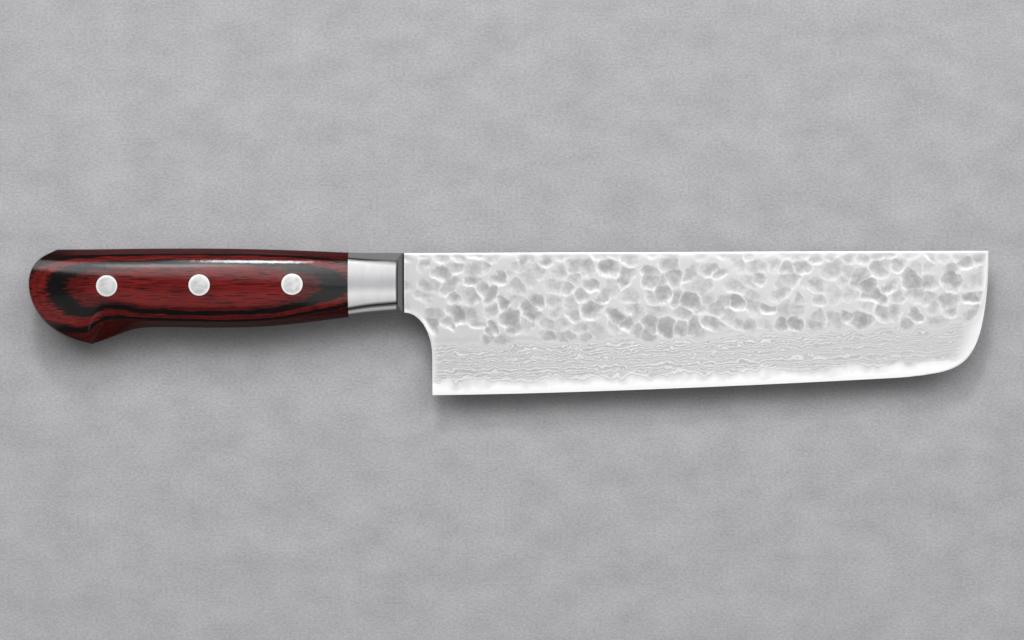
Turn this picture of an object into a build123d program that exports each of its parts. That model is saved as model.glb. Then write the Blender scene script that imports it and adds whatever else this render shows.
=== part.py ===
from build123d import *
import math
import os

# A nakiri knife that lies on its left side, in millimetres.
# +X runs to the tip, +Y to the spine and +Z up, out of the side that it shows.
# It is built with x = 0 at the bolster's front, y = 0 at the spine and z = 0 in the
# middle of the steel, and moved at the end so that the origin is under its middle.

# Blade plate
edge_length = 165.0
neck_length = 8.2
blade_height = 42.05
blade_thickness = 2.0
choil_height = 13.0
edge_rise = 6.0
edge_curve_power = 1.52

# Rounded tip: its reach back from the end, and shares of that and of the height there
tip_reach = 28.0
tip_round_shares = [
    (0.03, 0.395), (0.073, 0.587), (0.14, 0.746), (0.262, 0.873), (0.405, 0.935), (0.702, 0.98),
]

# Layers and grinding; the steel inside the handle is a little thinner than the blade
core_thickness = 0.6
tang_thickness = 1.8
bevel_width = 17.0
sharpened_width = 1.0
sharpened_thickness = 0.28
edge_land = 0.06

# Handle
bolster_length = 16.4
scale_length = 94.6
handle_height = 23.4
handle_thickness = 17.8
back_flat_width = 3.2
ridge_depth = 9.6
crown_pull_share = 0.66

# Sloping front of the bolster
bolster_slope_length = 2.5
bolster_slope_height = 5.1
bolster_lip = 0.3

# Butt: its curved end from the back corner to the beak, as shares of its reach along and
# of the handle's height, and how far its rim is rounded over at the thickness given
butt_reach = 18.8
butt_curve_shares = [
    (0.62, -0.136), (0.425, -0.055), (0.149, 0.07), (0.04, 0.196), (0.0, 0.363),
    (0.046, 0.577), (0.234, 0.83), (0.511, 1.0), (0.888, 1.112), (1.2, 1.162),
]
butt_rim = 1.0
butt_rim_thickness = 13.6
butt_rim_power = 3

# Rivets: head, barrel and pin, the seat of a head above the steel, and their places
rivet_head_diameter = 6.3
rivet_barrel_diameter = 4.2
rivet_pin_diameter = 3.0
rivet_seat_height = 3.4
rivet_end_gap = 0.4
rivet_fit = 0.03
front_rivet_depth = 9.1
rear_rivet_depth = 9.35
rivet_spacing = 27.2
front_rivet_distance = 32.7

# Places inside the bolster and past the faces that a cut goes through
weld_depth = 8.2
overrun = 5.0

# Cross-sections of the handle from the bolster's front to past the butt. Each row has
# the distance along as a share of the handle's length, the top above the spine line and
# the bottom below it as shares of its height, its thickness as a share of the greatest,
# then the lower crease: its height over the bottom as a share of handle height, its
# half-width as a share of half the thickness, and its slopes before and after in degrees.
section_shares = [
    (0.000, 0.000, 0.750, 0.685, 0.115, 0.545, 33, 33),
    (0.074, 0.006, 0.774, 0.713, 0.120, 0.565, 33, 33),
    (0.148, 0.013, 0.806, 0.770, 0.125, 0.605, 33, 33),
    (0.225, 0.030, 0.849, 0.858, 0.130, 0.675, 33, 33),
    (0.315, 0.048, 0.898, 0.938, 0.132, 0.740, 32, 32),
    (0.450, 0.067, 0.930, 0.990, 0.132, 0.785, 31, 31),
    (0.585, 0.073, 0.924, 1.000, 0.132, 0.790, 31, 31),
    (0.675, 0.073, 0.922, 0.990, 0.138, 0.770, 30, 33),
    (0.720, 0.072, 0.944, 0.978, 0.158, 0.735, 29, 38),
    (0.765, 0.070, 1.017, 0.962, 0.199, 0.655, 27, 42),
    (0.806, 0.068, 1.090, 0.944, 0.167, 0.575, 26, 50),
    (0.835, 0.067, 1.132, 0.925, 0.038, 0.505, 26, 78),
    (0.880, 0.066, 1.180, 0.880, 0.018, 0.460, 26, 84),
    (0.930, 0.066, 1.225, 0.810, 0.018, 0.410, 26, 84),
    (0.975, 0.066, 1.258, 0.730, 0.018, 0.370, 26, 84),
    (1.015, 0.066, 1.285, 0.640, 0.018, 0.330, 26, 84),
]

handle_length = bolster_length + scale_length
tip_x = neck_length + edge_length
half_steel = blade_thickness / 2
half_tang = tang_thickness / 2
neck_height = section_shares[0][2] * handle_height
seat_z = half_tang + rivet_seat_height


def edge_y(along):
    # Height of the cutting edge at a distance along from the heel corner
    share = max(along, 0.0) / edge_length
    return -(blade_height - edge_rise * share ** edge_curve_power)


def thick_slab(low_x, high_x, low_z, high_z):
    # A block across the whole height, to keep one stretch and one layer of a form
    width = high_x - low_x
    depth = high_z - low_z
    middle = ((low_x + high_x) / 2, 0, (low_z + high_z) / 2)
    return Pos(*middle) * Box(width, 4 * blade_height, depth)


def blade_outline():
    # Spine, rounded tip, cutting edge, heel and hollow choil of the plate
    corner_along = edge_length - tip_reach
    corner = (neck_length + corner_along, edge_y(corner_along))
    back_slope = edge_y(corner_along - sharpened_width) - edge_y(corner_along)
    edge_direction = (-sharpened_width, back_slope)
    tip_points = [(tip_x - back * tip_reach, down * corner[1]) for back, down in tip_round_shares]
    edge_points = []
    for share in (1.0, 0.85, 0.6, 0.35, 0.15, 0.0):
        along = share * corner_along
        edge_points.append((neck_length + along, edge_y(along)))
    outline = Line((0, 0), (tip_x, 0))
    outline += Spline((tip_x, 0), *tip_points, corner, tangents=[(0, -1), edge_direction])
    outline += Spline(*edge_points, tangents=[edge_direction, (-1, 0)])
    outline += Line((neck_length, edge_y(0.0)), (0, edge_y(0.0)))
    outline += Line((0, edge_y(0.0)), (0, 0))
    return make_face(outline)


def choil_cut():
    # The quarter ellipse under the bolster and the straight heel below it
    middle_y = -neck_height - choil_height
    below = -middle_y * 2
    hollow = Pos(0, middle_y) * Ellipse(neck_length, choil_height)
    hollow += Pos(0, middle_y - below / 2) * Rectangle(2 * neck_length, below)
    return extrude(hollow, amount=blade_thickness, both=True)


def bevel_cut():
    # What the grinding takes off the right side: the long bevel, then the sharpened one
    slope = (half_steel - sharpened_thickness / 2) / (bevel_width - sharpened_width)
    out_z = half_steel + overrun * slope
    sections = []
    for share in (-0.1, 0.0, 0.2, 0.4, 0.6, 0.8, 0.9, 1.1):
        x = neck_length + share * edge_length
        edge = edge_y(share * edge_length)
        corners = [
            (x, edge + bevel_width + overrun, out_z),
            (x, edge + sharpened_width, sharpened_thickness / 2),
            (x, edge, edge_land / 2),
            (x, edge - overrun, edge_land / 2),
            (x, edge - overrun, out_z + overrun),
            (x, edge + bevel_width + overrun, out_z + overrun),
        ]
        sections.append(Wire.make_polygon([Vector(*corner) for corner in corners]))
    return Solid.make_loft(sections)


def handle_section(row):
    # One cross-section of the handle: flat back, domed sides, creased lower edge, flat belly
    along, top, bottom, thick, crease_up, crease_out, before, after = row
    x = -along * handle_length
    top_y = top * handle_height
    bottom_y = -bottom * handle_height
    crease_y = bottom_y + crease_up * handle_height
    half = thick * handle_thickness / 2
    crease_z = crease_out * handle_thickness / 2
    flat_z = back_flat_width / 2
    pull = crown_pull_share
    drop = crease_y + ridge_depth
    run = (crease_y - bottom_y) / 3
    before_tan = math.tan(math.radians(before))
    after_cos = math.cos(math.radians(after))
    after_sin = math.sin(math.radians(after))
    reach = math.hypot(run, crease_z - flat_z) / 2

    def side(sign):
        # The three curves of one side, from the back flat to the belly flat
        upper = [(top_y, flat_z), (top_y, flat_z + pull * (half - flat_z)),
                 (-ridge_depth + pull * (top_y + ridge_depth), half), (-ridge_depth, half)]
        middle = [(-ridge_depth, half), (-ridge_depth + drop / 2, half),
                  (crease_y - drop / 4, crease_z - drop / 4 * before_tan), (crease_y, crease_z)]
        lower = [(crease_y, crease_z), (crease_y - reach * after_cos, crease_z - reach * after_sin),
                 (bottom_y, flat_z + (crease_z - flat_z) / 3), (bottom_y, flat_z)]
        return [Edge.make_bezier(*[Vector(x, y, sign * z) for y, z in points])
                for points in (upper, middle, lower)]

    right = side(1)
    left = side(-1)
    back = Edge.make_line(Vector(x, top_y, -flat_z), Vector(x, top_y, flat_z))
    belly = Edge.make_line(Vector(x, bottom_y, flat_z), Vector(x, bottom_y, -flat_z))
    return Wire([back] + right + [belly] + left[::-1])


def handle_form():
    # The outside of bolster, scales and tang as one form, before the butt is cut round
    return Solid.make_loft([handle_section(row) for row in section_shares])


def butt_section(z):
    # The butt's curve at one height, drawn in as the rounding takes it, closed behind
    inset = butt_rim * (2 * abs(z) / butt_rim_thickness) ** butt_rim_power
    kept = 1 - inset / butt_reach
    middle = (butt_reach - handle_length, -ridge_depth)
    points = []
    for back, down in butt_curve_shares:
        full = (-handle_length + back * butt_reach, -down * handle_height)
        points.append(tuple(m + kept * (f - m) for m, f in zip(middle, full)))
    first_y = handle_height
    last_y = -2 * handle_height
    behind = -handle_length - butt_reach
    corners = [points[-1], (points[-1][0], last_y), (behind, last_y), (behind, first_y),
               (points[0][0], first_y), points[0]]
    spline = Edge.make_spline([Vector(x, y, z) for x, y in points])
    lines = [Edge.make_line(Vector(*start, z), Vector(*end, z))
             for start, end in zip(corners, corners[1:])]
    return Wire([spline] + lines)


def butt_cut():
    # What lies behind the butt, which is rounded over towards both sides
    shares = (-1.3, -1.0, -0.75, -0.4, 0.0, 0.4, 0.75, 1.0, 1.3)
    return Solid.make_loft([butt_section(share * butt_rim_thickness / 2) for share in shares])


def bolster_front_cut():
    # What the sloping front takes off the right bolster, down to a lip over the steel
    low_z = half_steel + bolster_lip
    slope = bolster_slope_height / bolster_slope_length
    corners = [
        (0, low_z),
        (overrun, low_z - overrun * slope),
        (overrun, handle_thickness),
        (-(handle_thickness - low_z) / slope, handle_thickness),
    ]
    face = make_face(Plane.XZ * Polyline(*corners, close=True))
    return extrude(face, amount=2 * blade_height, both=True)


def rivet_axes():
    # Name and place of each rivet, in a straight row from front to back
    names = ["front", "middle", "rear"]
    step_down = (rear_rivet_depth - front_rivet_depth) / (len(names) - 1)
    axes = []
    for step, name in enumerate(names):
        x = -front_rivet_distance - step * rivet_spacing
        axes.append((name, (x, -front_rivet_depth - step * step_down)))
    return axes


def column(axis, diameter, low_z, high_z):
    # An upright round bar or hole on a rivet's axis
    tall = high_z - low_z
    return Pos(*axis, (low_z + high_z) / 2) * Cylinder(diameter / 2, tall)


def blade_layers(form):
    # The ground plate and its thinner tail in the bolster, cut into core and two claddings
    plate = extrude(blade_outline(), amount=half_steel, both=True)
    plate -= choil_cut()
    grinding = bevel_cut()
    plate -= grinding
    plate -= grinding.mirror(Plane.XY)
    plate += form & thick_slab(-weld_depth, 0, -half_tang, half_tang)
    half_core = core_thickness / 2
    layer = thick_slab(-handle_length, tip_x + overrun, half_core, half_steel + overrun)
    return {
        "core_steel": plate & thick_slab(-handle_length, tip_x + overrun, -half_core, half_core),
        "damascus_cladding_right": plate & layer,
        "damascus_cladding_left": plate & layer.mirror(Plane.XY),
    }


def tang(form):
    # The full-length strip from the weld to the butt, with a hole for each rivet
    strip = form & thick_slab(-2 * handle_length, -weld_depth, -half_tang, half_tang)
    strip -= butt_cut()
    for _, axis in rivet_axes():
        strip -= column(axis, rivet_barrel_diameter + 2 * rivet_fit, -overrun, overrun)
    return strip


def bolster_half(form):
    # The right half of the collar, from the scale to its sloping front
    half = form & thick_slab(-bolster_length, 0, half_tang, handle_thickness)
    return half - bolster_front_cut()


def scale_half(form):
    # The right grip half: domed outside, flat inside, with a stepped hole for each rivet
    half = form & thick_slab(-2 * handle_length, -bolster_length, half_tang, handle_thickness)
    half -= butt_cut()
    for _, axis in rivet_axes():
        half -= column(axis, rivet_barrel_diameter + 2 * rivet_fit, 0, seat_z)
        half -= column(axis, rivet_head_diameter + 2 * rivet_fit, seat_z, handle_thickness)
    return half


def rivet_female(form, axis):
    # The bored half: a head in the right scale and a barrel through the tang
    head = form & column(axis, rivet_head_diameter, seat_z, handle_thickness)
    barrel = column(axis, rivet_barrel_diameter, -seat_z + rivet_end_gap, seat_z)
    bore = column(axis, rivet_pin_diameter + 2 * rivet_fit, -seat_z, seat_z)
    return head + barrel - bore


def rivet_male(form, axis):
    # The pin half: a head in the left scale and a pin up the barrel's bore
    head = form & column(axis, rivet_head_diameter, -handle_thickness, -seat_z)
    return head + column(axis, rivet_pin_diameter, -seat_z, seat_z - rivet_end_gap)


def knife():
    # Every piece by name, in the frame that it is built in
    form = handle_form()
    pieces = blade_layers(form)
    pieces["tang"] = tang(form)
    pieces["bolster_right"] = bolster_half(form)
    pieces["bolster_left"] = pieces["bolster_right"].mirror(Plane.XY)
    pieces["scale_right"] = scale_half(form)
    pieces["scale_left"] = pieces["scale_right"].mirror(Plane.XY)
    for name, axis in rivet_axes():
        pieces[f"rivet_{name}_female"] = rivet_female(form, axis)
        pieces[f"rivet_{name}_male"] = rivet_male(form, axis)
    return pieces


os.makedirs("parts", exist_ok=True)
pieces = knife()
box = Compound([piece for piece in pieces.values()]).bounding_box()
under_middle = Vector((box.min.X + box.max.X) / 2, (box.min.Y + box.max.Y) / 2, box.min.Z)
for name, piece in pieces.items():
    export_step(Pos(-under_middle) * piece, f"parts/{name}.step")
print("origin was at", under_middle, "size", box.size)
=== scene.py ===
import math

import bmesh
import bpy
import numpy as np
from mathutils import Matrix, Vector, kdtree, noise


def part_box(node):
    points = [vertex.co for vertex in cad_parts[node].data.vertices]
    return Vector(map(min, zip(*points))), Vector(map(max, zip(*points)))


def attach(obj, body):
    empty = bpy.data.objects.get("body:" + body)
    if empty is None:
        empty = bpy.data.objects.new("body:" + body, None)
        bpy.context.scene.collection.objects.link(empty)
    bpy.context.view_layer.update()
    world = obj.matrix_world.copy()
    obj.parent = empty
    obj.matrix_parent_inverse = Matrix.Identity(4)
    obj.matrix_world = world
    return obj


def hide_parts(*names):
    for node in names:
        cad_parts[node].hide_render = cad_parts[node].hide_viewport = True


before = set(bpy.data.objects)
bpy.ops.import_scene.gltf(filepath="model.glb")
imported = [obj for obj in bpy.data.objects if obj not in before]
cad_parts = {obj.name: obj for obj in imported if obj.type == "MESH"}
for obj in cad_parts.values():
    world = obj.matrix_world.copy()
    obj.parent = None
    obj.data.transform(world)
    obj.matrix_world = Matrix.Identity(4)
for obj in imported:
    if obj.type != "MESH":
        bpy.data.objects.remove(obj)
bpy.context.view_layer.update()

mm = 0.001

# The place where the knife is looked at
# It lies on its left side on pale grey stone board. A long lens looks straight down on
# it, turned a little so that the spine rises to the right.
core_low, core_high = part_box("core_steel")
middle_z = (core_low.z + core_high.z) / 2
lens_height = 843.6 * mm
lens_place = (0.78 * mm, 0.28 * mm)
spine_rise = math.radians(0.2446)

camera = bpy.data.objects.new("camera", bpy.data.cameras.new("camera"))
camera.data.lens = 100
camera.data.sensor_width = 36
camera.location = (*lens_place, middle_z + lens_height)
camera.rotation_euler = (0, 0, -spine_rise)
bpy.context.scene.collection.objects.link(camera)
bpy.context.scene.camera = camera
bpy.context.scene.view_settings.view_transform = "Standard"


def softbox(name, lean, aside, spread, distance, glow):
    # A lamp that leans from straight up towards the spine and aside towards the tip, and
    # spreads over so many degrees along the knife and across it
    lamp = bpy.data.lights.new(name, "AREA")
    lamp.shape = "RECTANGLE"
    lamp.size, lamp.size_y = (2 * distance * math.tan(math.radians(angle / 2)) for angle in spread)
    lamp.energy = glow * math.pi * lamp.size * lamp.size_y
    holder = bpy.data.objects.new(name, lamp)
    upright = Vector((math.tan(math.radians(aside)), math.tan(math.radians(lean)), 1)).normalized()
    holder.location = upright * distance
    holder.rotation_euler = upright.to_track_quat("Z", "Y").to_euler()
    bpy.context.scene.collection.objects.link(holder)


# A big softbox in strips, most of them brighter the further they lean, two small lamps
# that draw the glints on the handle, and a broad dim one from the front
key_distance = 1.3
lamp_distance = 1.2
key_aside = 4
key_spread = (90, 7)
key_strips = (
    (0.5, 0.8), (7.5, 1.0), (14.5, 1.5), (21.5, 2.7), (28.5, 3.6), (35.5, 4.0), (42.5, 3.2),
)
for lean, glow in key_strips:
    softbox(f"key_lamp_{lean}", lean, key_aside, key_spread, key_distance, glow)
softbox("strip_lamp", 50, -7.5, (9, 8), lamp_distance, 42.0)
softbox("side_lamp", 36, -15, (10, 8), lamp_distance, 6.0)
softbox("front_lamp", -16, 0, (70, 26), lamp_distance, 0.35)

room = bpy.data.worlds.new("room")
room.use_nodes = True
room.node_tree.nodes["Background"].inputs["Color"].default_value = (1, 1, 1, 1)
room.node_tree.nodes["Background"].inputs["Strength"].default_value = 0.12
bpy.context.scene.world = room


def tone(red, green, blue):
    # A colour as it is seen on a screen, from 0 to 255, for a shader's socket
    shares = [value / 255 for value in (red, green, blue)]
    linear = [s / 12.92 if s <= 0.04045 else ((s + 0.055) / 1.055) ** 2.4 for s in shares]
    return (*linear, 1)


def finish(name, sockets):
    # A new material with what is the same all over set on its shader
    material = bpy.data.materials.new(name)
    material.use_nodes = True
    shader = material.node_tree.nodes["Principled BSDF"]
    for socket, value in sockets.items():
        shader.inputs[socket].default_value = value
    return material, material.node_tree, shader


def node(tree, kind, sockets, **settings):
    # A shader node, with each socket set to a value or joined to another node's output
    made = tree.nodes.new("ShaderNode" + kind)
    for setting, value in settings.items():
        setattr(made, setting, value)
    for socket, value in sockets.items():
        if isinstance(value, bpy.types.NodeSocket):
            tree.links.new(value, made.inputs[socket])
        else:
            made.inputs[socket].default_value = value
    return made


def maths(tree, operation, first, second=0.0, third=0.0):
    sockets = {0: first, 1: second, 2: third}
    return node(tree, "Math", sockets, operation=operation).outputs[0]


def place_in(tree, per_mm, turn=(0, 0, 0), shift=(0, 0, 0)):
    # Coordinates on the piece, in steps of so many to the millimetre along each axis
    where = node(tree, "TexCoord", {}).outputs["Object"]
    sockets = {"Vector": where, "Scale": [value / mm for value in per_mm],
               "Rotation": [math.radians(value) for value in turn], "Location": shift}
    return node(tree, "Mapping", sockets).outputs[0]


def cloud(tree, where, detail, rough):
    # Even, cloudy noise, finer the more detail it has
    sockets = {"Vector": where, "Scale": 1.0, "Detail": detail, "Roughness": rough}
    return node(tree, "TexNoise", sockets).outputs[0]


def from_to(tree, value, low, high, to_low=0.0, to_high=1.0, smooth=False):
    # The share of the way that a value has gone from low to high, as a new range
    sockets = {"Value": value, "From Min": low, "From Max": high, "To Min": to_low,
               "To Max": to_high}
    kind = "SMOOTHSTEP" if smooth else "LINEAR"
    return node(tree, "MapRange", sockets, interpolation_type=kind).outputs[0]


def mix(tree, share, first, second, blend="MIX"):
    sockets = {0: share, 6: first, 7: second}
    return node(tree, "Mix", sockets, data_type="RGBA", blend_type=blend).outputs[2]


def bump(tree, shader, height, distance, strength=1.0):
    sockets = {"Strength": strength, "Distance": distance, "Height": height}
    tree.links.new(node(tree, "Bump", sockets).outputs[0], shader.inputs["Normal"])


def join(tree, value, shader, socket):
    tree.links.new(value, shader.inputs[socket])


board_reach = 2.5
board_pale = tone(182, 181, 183)
board_dark = tone(164, 163, 165)
board_cloud = tone(236, 236, 237)

bm = bmesh.new()
bmesh.ops.create_grid(bm, x_segments=1, y_segments=1, size=board_reach)
board_mesh = bpy.data.meshes.new("board")
bm.to_mesh(board_mesh)
board = bpy.data.objects.new("board", board_mesh)
bpy.context.scene.collection.objects.link(board)
stone, tree, shader = finish("board_stone", {"Roughness": 0.9, "Specular IOR Level": 0.2})
fine = cloud(tree, place_in(tree, (1.1, 1.7, 1.7)), 2.0, 0.6)
broad = cloud(tree, place_in(tree, (0.07, 0.1, 0.1)), 4.0, 0.6)
colour = mix(tree, from_to(tree, fine, 0.32, 0.68), board_dark, board_pale)
shade = mix(tree, from_to(tree, broad, 0.3, 0.7), board_cloud, (1, 1, 1, 1))
join(tree, mix(tree, 1.0, colour, shade, "MULTIPLY"), shader, "Base Color")
bump(tree, shader, fine, 0.05 * mm)
board_mesh.materials.append(stone)


# Blade core
# The hard steel in the middle of the blade, from spine to edge. The stones that ground
# the blade laid it bare along the edge, where it is polished; the bright white there is a
# painted reflection.
edge_length = 165.0
neck_length = 8.2
blade_height = 42.05
edge_rise = 6.0
edge_curve_power = 1.52
tip_x = neck_length + edge_length
bevel_width = 17.0
sharpened_width = 1.0
edge_half = 0.03
sharpened_half = 0.14
steel_half = 1.0
core_half = 0.3
core_waver = 0.04
tip_front_from = 145.0
weld = 0.002
bolster_front = core_high.x / mm - tip_x
spine_line = max(vert.co.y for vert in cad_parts["core_steel"].data.vertices
                 if vert.co.x > (bolster_front + neck_length) * mm) / mm


def edge_depth(x):
    # How far the cutting edge lies under the spine, at places along the blade
    share = np.clip((x - neck_length) / edge_length, 0, None)
    return blade_height - edge_rise * share ** edge_curve_power


def outline_of(node_name):
    # A layer's outline as one flat face, in mm from the bolster's front and the spine
    layer = bmesh.new()
    layer.from_mesh(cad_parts[node_name].data)
    bmesh.ops.remove_doubles(layer, verts=layer.verts, dist=weld * mm)
    hidden = [face for face in layer.faces if face.normal.z < 0.5]
    bmesh.ops.delete(layer, geom=hidden, context="FACES")
    start = (-bolster_front * mm, -spine_line * mm, 0)
    bmesh.ops.translate(layer, verts=layer.verts, vec=start)
    bmesh.ops.scale(layer, verts=layer.verts, vec=(1 / mm, 1 / mm, 0))
    bmesh.ops.remove_doubles(layer, verts=layer.verts, dist=weld)
    bmesh.ops.dissolve_limit(layer, angle_limit=0.01, verts=layer.verts, edges=layer.edges)
    slivers = sorted(layer.faces, key=lambda face: face.calc_area())[:-1]
    bmesh.ops.delete(layer, geom=slivers, context="FACES")
    return layer


def rule(layer, axis, places):
    # Cuts a flat layer along parallel lines, from the first place to the last
    side = 1 if places[-1] > places[0] else -1
    across = Vector((1, 0, 0)) if axis == 0 else Vector((0, 1, 0))
    ahead = layer.faces[:]
    for place in places:
        near = ahead + list(dict.fromkeys(edge for face in ahead for edge in face.edges))
        near += list(dict.fromkeys(vert for face in ahead for vert in face.verts))
        cut = bmesh.ops.bisect_plane(
            layer, geom=near, dist=1e-5, plane_co=across * float(place), plane_no=across)
        ahead = [piece for piece in cut["geom"] if isinstance(piece, bmesh.types.BMFace)
                 and side * (piece.calc_center_median()[axis] - place) > 0]


def ruled_blade(columns, rows):
    # The whole blade as a fine net, with its rows fanned from spine to edge
    layer = outline_of("core_steel")
    rule(layer, 0, columns)
    for vert in layer.verts:
        vert.co.y /= float(edge_depth(vert.co.x))
        if vert.co.y < -0.99 and vert.co.x < tip_front_from:
            vert.co.y = -1
    rule(layer, 1, rows)
    for vert in layer.verts:
        vert.co.y *= float(edge_depth(vert.co.x))
    return layer


def steps(low, high, step):
    # Evenly spaced places, about one step apart
    return list(np.linspace(low, high, max(2, round((high - low) / step) + 1)))


def waver(x, y, long, tall, seed):
    # Smooth unevenness between about -1 and 1, of a length and a height in mm
    return np.array([noise.noise((a / long, b / tall, seed)) for a, b in zip(x, y)]) * 1.6


def smooth_step(value, low, high):
    share = np.clip((value - low) / (high - low), 0, 1)
    return share * share * (3 - 2 * share)


def points_of(layer):
    points = np.array([vert.co[:2] for vert in layer.verts])
    return points[:, 0], points[:, 1]


outline = outline_of("core_steel")
tip_front = sorted((-vert.co.y, vert.co.x) for vert in outline.verts
                   if vert.co.x > tip_front_from)
rim_points = []
for edge in outline.edges:
    first, last = (vert.co.copy() for vert in edge.verts)
    for share in np.linspace(0, 1, max(2, int(edge.calc_length() / 0.15))):
        point = first.lerp(last, float(share))
        on_edge = point.x < tip_front_from and -point.y > edge_depth(point.x) - 0.3
        if point.x > 0.02 and not (on_edge and point.x > neck_length):
            rim_points.append(point)
outline.free()
rim_tree = kdtree.KDTree(len(rim_points))
for index, point in enumerate(rim_points):
    rim_tree.insert(point, index)
rim_tree.balance()


def rim_distance(x, y):
    # How far in from the spine, the tip's front, the heel and the choil a place is
    return np.array([rim_tree.find((a, b, 0))[2] for a, b in zip(x, y)])


def ground_half(x, y):
    # Half the thickness that the grinding leaves, which is turned up round the tip
    up = np.clip(edge_depth(x) + y, 0.01, None)
    depths, fronts = zip(*tip_front)
    back = np.clip(np.interp(-y, depths, fronts) - x, 0, None)
    turned = (3 + (up / 12) ** 3) * back + 9 * smooth_step(up, 5, 22) + 0.01
    width = (up ** -3.0 + turned ** -3.0) ** (-1 / 3)
    places = (0, sharpened_width, bevel_width)
    return np.interp(width, places, (edge_half, sharpened_half, steel_half))


def core_face(x, y):
    # Half the core's thickness, which forging left a little uneven
    swells = waver(x, y, 6.5, 5, 3.3) + 1.05 * waver(x, y, 2.9, 3, 8.1)
    swells = swells + 0.35 * waver(x, y, 1.1, 2, 5.7)
    return core_half + core_waver * swells


def settle(layer, name, replaced, marks):
    # A piece made in mm goes to its place in the frame, and takes over from its solid
    bmesh.ops.scale(layer, verts=layer.verts, vec=(mm, mm, mm))
    place = (bolster_front * mm, spine_line * mm, middle_z)
    bmesh.ops.translate(layer, verts=layer.verts, vec=place)
    mesh = bpy.data.meshes.new(name)
    layer.to_mesh(mesh)
    layer.free()
    mesh.shade_smooth()
    mesh.set_sharp_from_angle(angle=math.radians(35))
    for mark, values in marks.items():
        mesh.attributes.new(mark, "FLOAT", "POINT").data.foreach_set("value", values)
    piece = bpy.data.objects.new(name, mesh)
    bpy.context.scene.collection.objects.link(piece)
    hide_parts(replaced)
    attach(piece, "root")
    return piece


def read(tree, mark):
    return node(tree, "Attribute", {}, attribute_name=mark).outputs["Fac"]


core_columns = steps(0, 160, 0.45) + steps(160.3, tip_x - 0.1, 0.25)
core_rows = [-share for share in steps(0.02, 0.8, 0.02) + steps(0.806, 0.994, 0.008)]
core = ruled_blade(core_columns, core_rows)
x, y = points_of(core)
half = np.minimum(ground_half(x, y), core_face(x, y))
for vert, height in zip(core.verts, half):
    vert.co.z = height
rim = [edge for edge in core.edges if edge.is_boundary]
walls = bmesh.ops.extrude_edge_only(core, edges=rim)["geom"]
for vert in walls:
    if isinstance(vert, bmesh.types.BMVert):
        vert.co.z = 0
bmesh.ops.mirror(core, geom=core.verts[:] + core.edges[:] + core.faces[:], axis="Z",
                 merge_dist=weld)
bmesh.ops.recalc_face_normals(core, faces=core.faces)
x, y = points_of(core)
core_marks = {"bared": core_face(x, y) - ground_half(x, y), "rim": rim_distance(x, y)}
blade_core = settle(core, "blade_core", "core_steel", core_marks)

painted_reflection_white = tone(250, 250, 250)
core_grey = tone(216, 216, 216)
seam_shade_grey = tone(188, 188, 188)
steel, tree, shader = finish("polished_core", {"Metallic": 0.15, "Specular IOR Level": 0.2})
bared = read(tree, "bared")
stain = cloud(tree, place_in(tree, (0.25, 0.5, 0.5)), 3.0, 0.6)
rise = maths(tree, "MULTIPLY_ADD", stain, 0.03, bared)
# Right below the seam the core is painted darker grey: a painted shade line under the cladding's
# step
colour = mix(tree, from_to(tree, rise, 0.01, 0.025), seam_shade_grey, core_grey)
# Towards the edge the polished band is painted near white: a painted reflection of its polish
colour = mix(tree, from_to(tree, rise, 0.015, 0.13), colour, painted_reflection_white)
# Near the spine, heel and tip's front the bared core is painted white: partly worn polish, partly
# a painted highlight
core_rim_wear_and_highlight = maths(tree, "MULTIPLY", from_to(tree, read(tree, "rim"), 6.0, 1.0),
                   from_to(tree, bared, -0.1, 0.0))
colour = mix(tree, core_rim_wear_and_highlight, colour, painted_reflection_white)
join(tree, colour, shader, "Base Color")
scratches = cloud(tree, place_in(tree, (0.4, 12, 12), (0, 0, 1.5)), 2.0, 0.6)
bump(tree, shader, scratches, 0.004 * mm, 0.4)
join(tree, from_to(tree, scratches, 0.3, 0.7, 0.38, 0.46), shader, "Roughness")
blade_core.data.materials.append(steel)


# Blade cladding, right and left
# Softer steel folded in thin layers and forged onto both faces of the core. A small
# hammer dented its upper part, and the grinding below shows the layers as wavy lines.
blow_step = (4.9, 4.3)
blow_reach = (2.3, 3.7)
blow_depth = (0.06, 0.15)
blow_growth = 0.08
plain_skin = 0.1
layer_depth = 0.044
rim_easing = 0.6
rim_drop = 0.09
tail_half = 0.9
fold_knots = 36


def blows(dice):
    # Each hammer mark: its middle, two reaches, turn, depth, tilt, bowl and uneven outline
    marks = []
    row = 0
    down = 0.6
    while down < blade_height - bevel_width + 2:
        along = 1.5 + (row % 2) * blow_step[0] / 2
        while along < tip_x + 2:
            x = along + dice.uniform(-2.1, 2.1)
            y = -down + dice.uniform(-1.8, 1.8)
            long = dice.uniform(*blow_reach) * (1 + blow_growth * x / tip_x)
            if -y < edge_depth(x) - bevel_width + 2.0:
                marks.append((x, y, long, long * dice.uniform(0.6, 1.0), dice.uniform(-1.0, 1.4),
                              dice.uniform(*blow_depth) * long / 3.1, dice.uniform(-0.45, 0.45),
                              dice.uniform(1.7, 3.0), dice.uniform(0, 6), dice.uniform(0, 6)))
            along += blow_step[0] * dice.uniform(0.75, 1.25)
        down += blow_step[1]
        row += 1
    return marks


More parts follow.
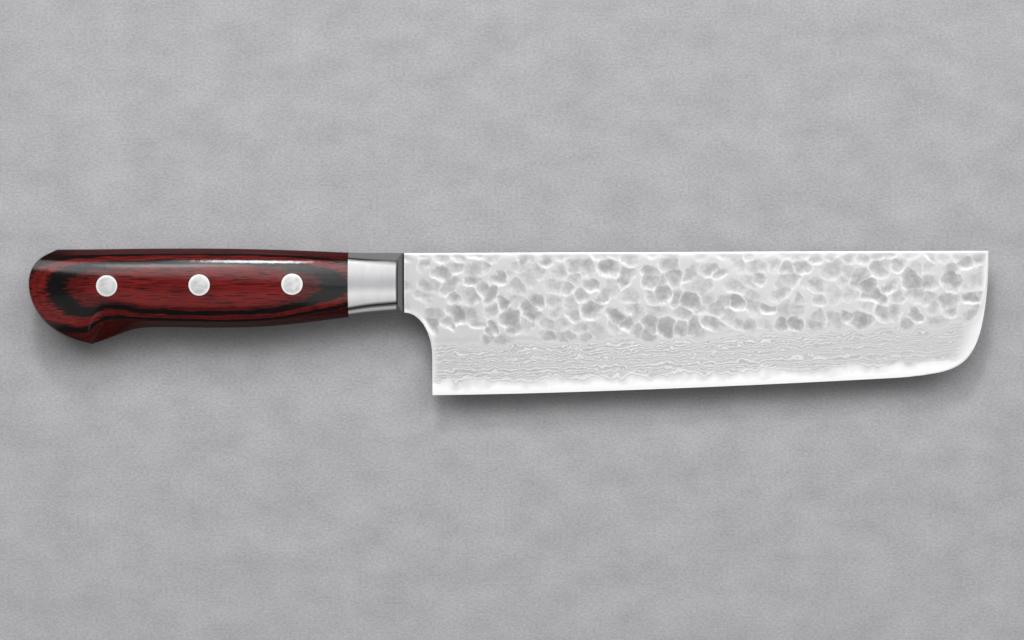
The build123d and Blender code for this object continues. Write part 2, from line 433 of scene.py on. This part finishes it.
def dented(x, y, marks):
    # How deep the hammer marks leave the face, where the deeper of two marks wins
    deep = np.zeros(len(x))
    wide = x + 0.5 * waver(x, y, 2.3, 2.3, 5.5) + 0.16 * waver(x, y, 0.8, 0.8, 1.5)
    tall = y + 0.4 * waver(x, y, 2.3, 2.3, 9.5) + 0.16 * waver(x, y, 0.8, 0.8, 7.5)
    for middle_x, middle_y, long, short, turn, depth, tilt, bowl, two, three in marks:
        reach = 1.5 * long
        near = np.flatnonzero((abs(wide - middle_x) < reach) & (abs(tall - middle_y) < reach))
        aside, up = wide[near] - middle_x, tall[near] - middle_y
        u = (aside * math.cos(turn) + up * math.sin(turn)) / long
        v = (up * math.cos(turn) - aside * math.sin(turn)) / short
        angle = np.arctan2(v, u)
        edge = 1 + 0.1 * np.sin(2 * angle + two) + 0.07 * np.sin(3 * angle + three)
        out = np.hypot(u, v) / edge
        mark = depth * (1 - np.clip(out, 0, 1.3) ** bowl) * (1 + tilt * u)
        blend = np.clip(0.5 + (mark - deep[near]) / 0.016, 0, 1)
        deep[near] += (mark - deep[near]) * blend + 0.008 * blend * (1 - blend)
    return deep


def cladding(side, seed):
    # One face of the blade as a closed shell, from its outline to its hammered skin
    dice = np.random.default_rng(seed)
    columns = steps(0, 160, 0.34) + steps(160.2, tip_x - 0.1, 0.2)
    rows = [0.003, 0.008, 0.014, 0.021, 0.029] + steps(0.037, 0.988, 0.0082)
    layer = ruled_blade(columns, [-share for share in rows])
    x, y = points_of(layer)
    over = ground_half(x, y) - core_face(x, y)
    for vert, thick in zip(layer.verts, over):
        vert.tag = bool(thick < -0.02 and vert.co.x > 0)
    sunk = [face for face in layer.faces if all(vert.tag for vert in face.verts)]
    bmesh.ops.delete(layer, geom=sunk, context="FACES")
    x, y = points_of(layer)
    ground = ground_half(x, y)
    rim = rim_distance(x, y)
    dents = dented(x, y, blows(dice)) * smooth_step(rim, 0.0, 1.4)
    skin = steel_half - dents - 0.014 * (1 + waver(x, y, 4, 4, seed))
    blend = np.clip(0.5 + (skin - ground) / 0.05, 0, 1)
    top = skin + (ground - skin) * blend - 0.025 * blend * (1 - blend)
    depth = skin - top
    folds = 0.03 * waver(x, y, 6, 2.6, seed + 1) + 0.016 * waver(x, y, 2.2, 1.3, seed + 2)
    folds += 0.006 * waver(x, y, 0.9, 0.7, seed + 3)
    folds += 0.022 * waver(x, y, 1.7, 1.1, seed + 4) * (1 - smooth_step(depth, 0.15, 0.4))
    for _ in range(fold_knots):
        along = dice.uniform(neck_length, tip_x)
        down = dice.uniform(-bevel_width, -4) + float(edge_depth(along))
        near = np.hypot(x - along, (y + down) * 1.4) / dice.uniform(0.6, 1.3)
        folds += dice.choice((-1, 1)) * 0.06 * np.exp(-near ** 2)
    depth = depth + folds * smooth_step(depth, 0.0, 0.12)
    left = ground - core_face(x, y)
    eased = rim_drop * (1 - np.sqrt(1 - (1 - np.clip(rim / rim_easing, 0, 1)) ** 2))
    eased = eased * (1 - 0.8 * smooth_step(x, tip_x - 6, tip_x - 3))
    top = top - eased * np.clip(left / (steel_half - core_half), 0, 1)
    top = np.where(left < 0, ground + 3 * np.maximum(left, -0.06), top)
    top = np.where(x < 0, tail_half, top)
    for vert, height in zip(layer.verts, top):
        vert.co.z = height
    outer = [edge for edge in layer.edges if edge.is_boundary]
    walls = bmesh.ops.extrude_edge_only(layer, edges=outer)["geom"]
    feet = [vert for vert in walls if isinstance(vert, bmesh.types.BMVert)]
    under = core_face(*np.array([vert.co[:2] for vert in feet]).T) - 0.01
    for vert, height in zip(feet, under):
        vert.co.z = min(float(height), vert.co.z - 0.02)
    bmesh.ops.edgeloop_fill(layer, edges=[edge for edge in layer.edges if edge.is_boundary])
    bmesh.ops.recalc_face_normals(layer, faces=layer.faces)
    # Near the tip's lower part the rim distance is shrunk, so that the painted rim highlight
    # reaches further in
    glow = 1 - 0.72 * smooth_step(x, tip_x - 24, tip_x - 4) * smooth_step(-y, 14, 24)
    count = len(layer.verts) - len(x)
    marks = {"layers": np.concatenate([depth, np.full(count, 0.3)]),
             "left": np.concatenate([left, np.zeros(count)]),
             "rim": np.concatenate([rim * glow, np.zeros(count)]),
             "dents": np.concatenate([np.where(blend < 0.5, dents, 0), np.zeros(count)])}
    layer.verts.index_update()
    crest = np.zeros(len(layer.verts))
    for index, vert in enumerate(layer.verts):
        around = [edge.other_vert(vert).co.z for edge in vert.link_edges]
        crest[index] = vert.co.z - sum(around) / len(around)
    crest = np.maximum(crest, 0)
    soft = [sum(crest[edge.other_vert(vert).index] for edge in vert.link_edges)
            / len(vert.link_edges) for vert in layer.verts]
    crest = (crest + soft) / 2
    marks["crest"] = crest * smooth_step(marks["rim"], 0.4, 1.2) * (marks["left"] > 0.1)
    if side == "left":
        bmesh.ops.scale(layer, verts=layer.verts, vec=(1, 1, -1))
        bmesh.ops.recalc_face_normals(layer, faces=layer.faces)
    return settle(layer, "blade_cladding_" + side,
                  "damascus_cladding_" + side, marks)


def axes(tree):
    # Where a place lies along, across and above the frame
    where = node(tree, "TexCoord", {}).outputs["Object"]
    return node(tree, "SeparateXYZ", {0: where}).outputs


def stripe(tree, value, low, full, ebb, high):
    # Full from the second value to the third, and nothing before the first or past the last
    rise = from_to(tree, value, low, full)
    return maths(tree, "MULTIPLY", rise, from_to(tree, value, high, ebb))


def drifting(tree, value, scale, detail):
    # Unevenness that changes with one value alone
    sockets = {"W": value, "Scale": scale, "Detail": detail}
    return node(tree, "TexNoise", sockets, noise_dimensions="1D").outputs[0]


skin_pale = tone(210, 210, 211)
hollow_shaded_grey = tone(164, 164, 165)
plain_light = tone(228, 228, 229)
crest_and_rim_highlight_white = tone(253, 253, 253)
layer_grey = tone(211, 211, 212)
layer_shadow_dark = tone(190, 190, 191)
layer_light = tone(249, 249, 249)
seam_highlight_light = tone(244, 244, 244)
steel, tree, shader = finish("folded_cladding", {"Specular IOR Level": 0.2})
layers = read(tree, "layers")
left = read(tree, "left")
rim = read(tree, "rim")
crest = read(tree, "crest")
dents = read(tree, "dents")
shiver = cloud(tree, place_in(tree, (0.6, 1.2, 1.2)), 3.0, 0.6)
turns = maths(tree, "MULTIPLY_ADD", shiver, 1.6, maths(tree, "DIVIDE", layers, layer_depth))
turns = maths(tree, "MULTIPLY_ADD", drifting(tree, turns, 0.4, 1.0), 1.6, turns)
sheet = node(tree, "TexWhiteNoise", {"W": maths(tree, "FLOOR", turns)}, noise_dimensions="1D")
within = maths(tree, "FRACT", turns)
light = stripe(tree, within, 0.0, 0.14, 0.22, 0.38)
# Just under each light layer line a darker line is painted: a painted shadow of the line's relief
under = stripe(tree, within, 0.4, 0.52, 0.64, 0.8)
split = axes(tree)
faint = from_to(tree, split["X"], (bolster_front + 90) * mm, core_high.x, 1.0, 0.5)
show = from_to(tree, sheet.outputs["Value"], 0.0, 1.0, 0.35, 1.0)
show = maths(tree, "MULTIPLY", show, faint)
banded = mix(tree, maths(tree, "MULTIPLY", light, show), layer_grey, layer_light)
banded = mix(tree, maths(tree, "MULTIPLY", under, show), banded, layer_shadow_dark)
ragged = maths(tree, "MULTIPLY_ADD", shiver, 0.05, layers)
shown = from_to(tree, ragged, plain_skin + 0.02, plain_skin + 0.03, smooth=True)
blot = cloud(tree, place_in(tree, (0.6, 0.6, 0.6)), 5.0, 0.65)
# Deeper in the hammer marks the skin is painted darker: partly the steel's own tone, partly
# painted shade
hollow_shade = maths(tree, "MULTIPLY_ADD", from_to(tree, blot, 0.3, 0.7, -0.5, 0.5), 0.1, dents)
skin = mix(tree, from_to(tree, hollow_shade, 0.02, 0.17), skin_pale, hollow_shaded_grey)
# The crests between hammer marks are painted near white: partly rubbed bright, partly a painted
# highlight
crest_highlight = maths(tree, "MULTIPLY", from_to(tree, crest, 0.0012, 0.011, 0.0, 0.9),
              from_to(tree, blot, 0.35, 0.65, 0.25, 1.0))
skin = mix(tree, crest_highlight, skin, crest_and_rim_highlight_white)
skin = mix(tree, from_to(tree, layers, 0.005, 0.09, 0.0, 0.75, smooth=True), skin, plain_light)
colour = mix(tree, shown, skin, banded)
# Along the seam with the core a light line is painted: a painted highlight on the cladding's step
seam = stripe(tree, left, 0.0, 0.01, 0.02, 0.04)
colour = mix(tree, maths(tree, "MULTIPLY", seam, faint), colour, seam_highlight_light)
# Along the spine, heel, choil and tip's front the face is painted white: partly wear, partly a
# painted highlight. Near the tip the steel is made less metallic so that this white shows
rim_wear_and_highlight = from_to(tree, rim, 2.6, 0.0)
rim_wear_and_highlight = maths(tree, "MULTIPLY", rim_wear_and_highlight, rim_wear_and_highlight)
colour = mix(tree, rim_wear_and_highlight, colour, crest_and_rim_highlight_white)
join(tree, colour, shader, "Base Color")
at_tip = from_to(tree, split["X"], core_high.x - 24 * mm, core_high.x - 4 * mm)
at_tip = maths(tree, "MULTIPLY", rim_wear_and_highlight, at_tip)
join(tree, from_to(tree, at_tip, 0.0, 0.6, 0.6, 0.15), shader, "Metallic")
grit = cloud(tree, place_in(tree, (6, 6, 6)), 2.0, 0.6)
relief = maths(tree, "MULTIPLY", shown, light)
bump(tree, shader, maths(tree, "MULTIPLY_ADD", grit, 0.15, relief), 0.01 * mm, 0.5)
join(tree, from_to(tree, grit, 0.3, 0.7, 0.3, 0.38), shader, "Roughness")
for side, seed in (("right", 11), ("left", 29)):
    cladding(side, seed).data.materials.append(steel)


# Tang
# The strip of steel that runs the whole length of the handle and shows along its back
# and belly, ground flush with the grips.
def repaint(names, material):
    # A solid that keeps its shape takes a new material
    for name in names:
        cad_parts[name].data.materials.clear()
        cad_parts[name].data.materials.append(material)


line_grey = tone(165, 165, 166)
line_pale = tone(205, 205, 206)
steel, tree, shader = finish("satin_tang", {"Metallic": 1.0, "Roughness": 0.36})
lines = cloud(tree, place_in(tree, (0.3, 9, 9)), 3.0, 0.6)
join(tree, mix(tree, lines, line_grey, line_pale), shader, "Base Color")
bump(tree, shader, lines, 0.006 * mm, 0.5)
repaint(["tang"], steel)


# Bolster, right and left
# Two stainless halves welded over the end of the blade, with a sloping front. They are
# ground with a fine belt across the knife, which leaves upright brush lines.
facet_level = (4.75, 5.05)
ridge_line = spine_line - 8.9
bevel_starts = bolster_front - 2.4
middle_reflection_grey = tone(180, 180, 182)
upper_reflection_grey = tone(196, 196, 197)
lower_reflection_pale = tone(224, 224, 225)
brush_shade = tone(244, 244, 244)
facet_shade_grey = tone(112, 112, 114)
crease_shade_dark = tone(50, 50, 51)
gleam_pale = tone(228, 228, 229)
steel, tree, shader = finish("brushed_bolster", {"Metallic": 0.08, "Specular IOR Level": 0.1})
lines = cloud(tree, place_in(tree, (7, 0.12, 0.12)), 3.0, 0.6)
soft = cloud(tree, place_in(tree, (0.5, 0.15, 0.15)), 2.0, 0.5)
streaks = maths(tree, "MULTIPLY_ADD", soft, 0.5, maths(tree, "MULTIPLY", lines, 0.5))
split = axes(tree)
across = maths(tree, "SUBTRACT", split["Y"], ridge_line * mm)
# The face is painted in bands across the knife, a middle grey stripe, a lighter upper side and a
# pale lower side: painted reflections
colour = mix(tree, from_to(tree, across, 0.5 * mm, 3.0 * mm), middle_reflection_grey, upper_reflection_grey)
below = from_to(tree, across, -0.4 * mm, -3.4 * mm, smooth=True)
colour = mix(tree, below, colour, lower_reflection_pale)
shade = mix(tree, from_to(tree, streaks, 0.35, 0.65), brush_shade, (1, 1, 1, 1))
colour = mix(tree, 1.0, colour, shade, "MULTIPLY")
# The steep facets along back and belly and the sloping front are painted dark grey: painted shade
height = maths(tree, "ABSOLUTE", maths(tree, "SUBTRACT", split["Z"], middle_z))
facet_shade = from_to(tree, height, facet_level[1] * mm, facet_level[0] * mm)
bevel = from_to(tree, split["X"], bevel_starts * mm, (bevel_starts + 0.15) * mm)
colour = mix(tree, maths(tree, "MAXIMUM", facet_shade, bevel), colour, facet_shade_grey)
# A dark line is painted along the crease between face and facet, and at the foot of the front
# where it meets the blade: painted shade
crease_shade = stripe(tree, height, 4.7 * mm, 4.95 * mm, 5.15 * mm, 5.6 * mm)
root = from_to(tree, split["X"], (bolster_front - 0.75) * mm, (bolster_front - 0.35) * mm)
colour = mix(tree, maths(tree, "MAXIMUM", crease_shade, root), colour, crease_shade_dark)
belly = from_to(tree, split["Y"], (ridge_line - 2) * mm, (ridge_line - 6) * mm)
gleam = stripe(tree, height, 3.5 * mm, 4.0 * mm, 4.4 * mm, 4.7 * mm)
gleam = maths(tree, "MULTIPLY", gleam, maths(tree, "SUBTRACT", 1.0, bevel))
colour = mix(tree, maths(tree, "MULTIPLY", gleam, belly), colour, gleam_pale)
join(tree, colour, shader, "Base Color")
join(tree, from_to(tree, streaks, 0.35, 0.65, 0.22, 0.26), shader, "Roughness")
bump(tree, shader, lines, 0.001 * mm, 0.5)
repaint(["bolster_right", "bolster_left"], steel)


# Grip scales, right and left
# Thin red and black sheets of birch, soaked in resin and pressed into one block, then
# ground to a dome so that the sheets show as rings. Buffed and clear.
sheets = (6.0, 6.6, 7.35, 8.05)
bend_from = bolster_front - 66.0
bend = 0.00023
red_deep = tone(56, 9, 10)
red_bright = tone(118, 27, 26)
red_warm = tone(126, 32, 29)
veneer_dark = tone(44, 10, 10)
pore_dark = tone(18, 7, 8)
rim_shade_dark = tone(38, 12, 11)
black_deep = tone(7, 6, 7)
black_pale = tone(18, 14, 15)
butt_shade_dark = tone(20, 9, 9)
joint_dark = tone(16, 8, 9)
wood, tree, shader = finish("laminated_wood", {
    "Roughness": 0.4, "Specular IOR Level": 0.0, "Coat Roughness": 0.13,
    "Coat IOR": 1.43})
split = axes(tree)
thick = maths(tree, "ABSOLUTE", maths(tree, "SUBTRACT", split["Z"], middle_z))
level = maths(tree, "DIVIDE", thick, mm)
along = maths(tree, "SUBTRACT", maths(tree, "DIVIDE", split["X"], mm), bend_from)
level = maths(tree, "MULTIPLY_ADD", maths(tree, "MULTIPLY", along, along), bend, level)
fray = cloud(tree, place_in(tree, (0.15, 1.6, 0.3), (0, 0, 4)), 6.0, 0.7)
sway = cloud(tree, place_in(tree, (0.035, 0.06, 0.06)), 2.0, 0.5)
level = maths(tree, "ADD", level, from_to(tree, fray, 0.2, 0.8, -0.34, 0.34))
level = maths(tree, "ADD", level, from_to(tree, sway, 0.2, 0.8, -0.15, 0.15))


def between(tree, height, low, high, soft):
    # One sheet's share of the thickness, with a soft change at both of its faces
    over = from_to(tree, height, low - soft, low + soft, smooth=True)
    under = from_to(tree, height, high + soft, high - soft, smooth=True)
    return maths(tree, "MULTIPLY", over, under)


thin_sheet = between(tree, level, sheets[0], sheets[1], 0.08)
thick_sheet = between(tree, level, sheets[2], sheets[3], 0.12)
black = maths(tree, "MAXIMUM", thin_sheet, thick_sheet)
grain = cloud(tree, place_in(tree, (0.2, 2.8, 2.8), (0, 0, 5)), 4.0, 0.65)
broad = cloud(tree, place_in(tree, (0.06, 0.22, 0.22), (0, 0, 4)), 3.0, 0.6)
pores = cloud(tree, place_in(tree, (0.13, 3.2, 3.2), (0, 0, 5), (3, 1, 2)), 2.0, 0.55)
red = mix(tree, from_to(tree, grain, 0.3, 0.7), red_deep, red_bright)
red = mix(tree, from_to(tree, broad, 0.35, 0.65, 0.0, 0.5), red, red_warm)
veneer = drifting(tree, level, 2.6, 2.0)
red = mix(tree, from_to(tree, veneer, 0.5, 0.62, 0.0, 0.6), red, veneer_dark)
red = mix(tree, from_to(tree, pores, 0.55, 0.64, 0.0, 0.9), red, pore_dark)
# Where the dome falls steeply to the tang the red is painted darker: painted shade
outer = from_to(tree, level, 6.1, 5.7, smooth=True)
red = mix(tree, maths(tree, "MULTIPLY", outer, 0.7), red, rim_shade_dark)
dark = mix(tree, from_to(tree, grain, 0.3, 0.7), black_deep, black_pale)
colour = mix(tree, black, red, dark)


past_all_rivets = 99.0


def from_rivets(tree, split):
    # How far a place is from the nearest rivet's middle, in mm
    nearest = past_all_rivets
    for place in ("front", "middle", "rear"):
        low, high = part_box(f"rivet_{place}_female")
        along = maths(tree, "SUBTRACT", split["X"], (low.x + high.x) / 2)
        across = maths(tree, "SUBTRACT", split["Y"], (low.y + high.y) / 2)
        square = maths(tree, "MULTIPLY_ADD", along, along, maths(tree, "MULTIPLY", across, across))
        away = maths(tree, "DIVIDE", maths(tree, "SQRT", square), mm)
        nearest = maths(tree, "MINIMUM", nearest, away)
    return nearest


# The rounded rim at the butt is painted near black: painted shade
butt_shade = from_to(tree, split["X"], (bolster_front - 94) * mm, (bolster_front - 102) * mm)
butt_shade = maths(tree, "MULTIPLY", butt_shade, from_to(tree, thick, 6.35 * mm, 5.9 * mm, 0.0, 0.85))
colour = mix(tree, butt_shade, colour, butt_shade_dark)
joint = from_to(tree, from_rivets(tree, split), 3.5, 3.15, 0.0, 0.75)
colour = mix(tree, joint, colour, joint_dark)
join(tree, colour, shader, "Base Color")
join(tree, from_to(tree, thick, 4.2 * mm, 6.2 * mm, 0.3, 0.9), shader, "Coat Weight")
bump(tree, shader, grain, 0.008 * mm, 0.2)
repaint(["scale_right", "scale_left"], wood)


# Rivets
# Three steel rivets in two halves each: a bored half from one side and a pin from the
# other, driven together and ground flush with the grips.
head_grey = tone(184, 184, 185)
head_pale = tone(212, 212, 212)
ring_highlight_pale = tone(230, 230, 230)
ring_edge = tone(150, 148, 148)
steel, tree, shader = finish("ground_rivet", {"Metallic": 0.35, "Specular IOR Level": 0.3})
away = from_rivets(tree, axes(tree))
smudge = cloud(tree, place_in(tree, (0.45, 0.6, 0.6)), 3.0, 0.6)
lines = cloud(tree, place_in(tree, (1.0, 9, 9), (0, 0, 20)), 2.0, 0.6)
colour = mix(tree, from_to(tree, smudge, 0.35, 0.65), head_grey, head_pale)
# A pale ring is painted round the edge of each head: a painted highlight
colour = mix(tree, from_to(tree, away, 2.3, 2.9), colour, ring_highlight_pale)
colour = mix(tree, from_to(tree, away, 3.02, 3.14), colour, ring_edge)
join(tree, colour, shader, "Base Color")
join(tree, from_to(tree, smudge, 0.3, 0.7, 0.38, 0.46), shader, "Roughness")
bump(tree, shader, lines, 0.004 * mm, 0.5)
repaint([f"rivet_{place}_{half}" for place in ("front", "middle", "rear")
         for half in ("female", "male")], steel)
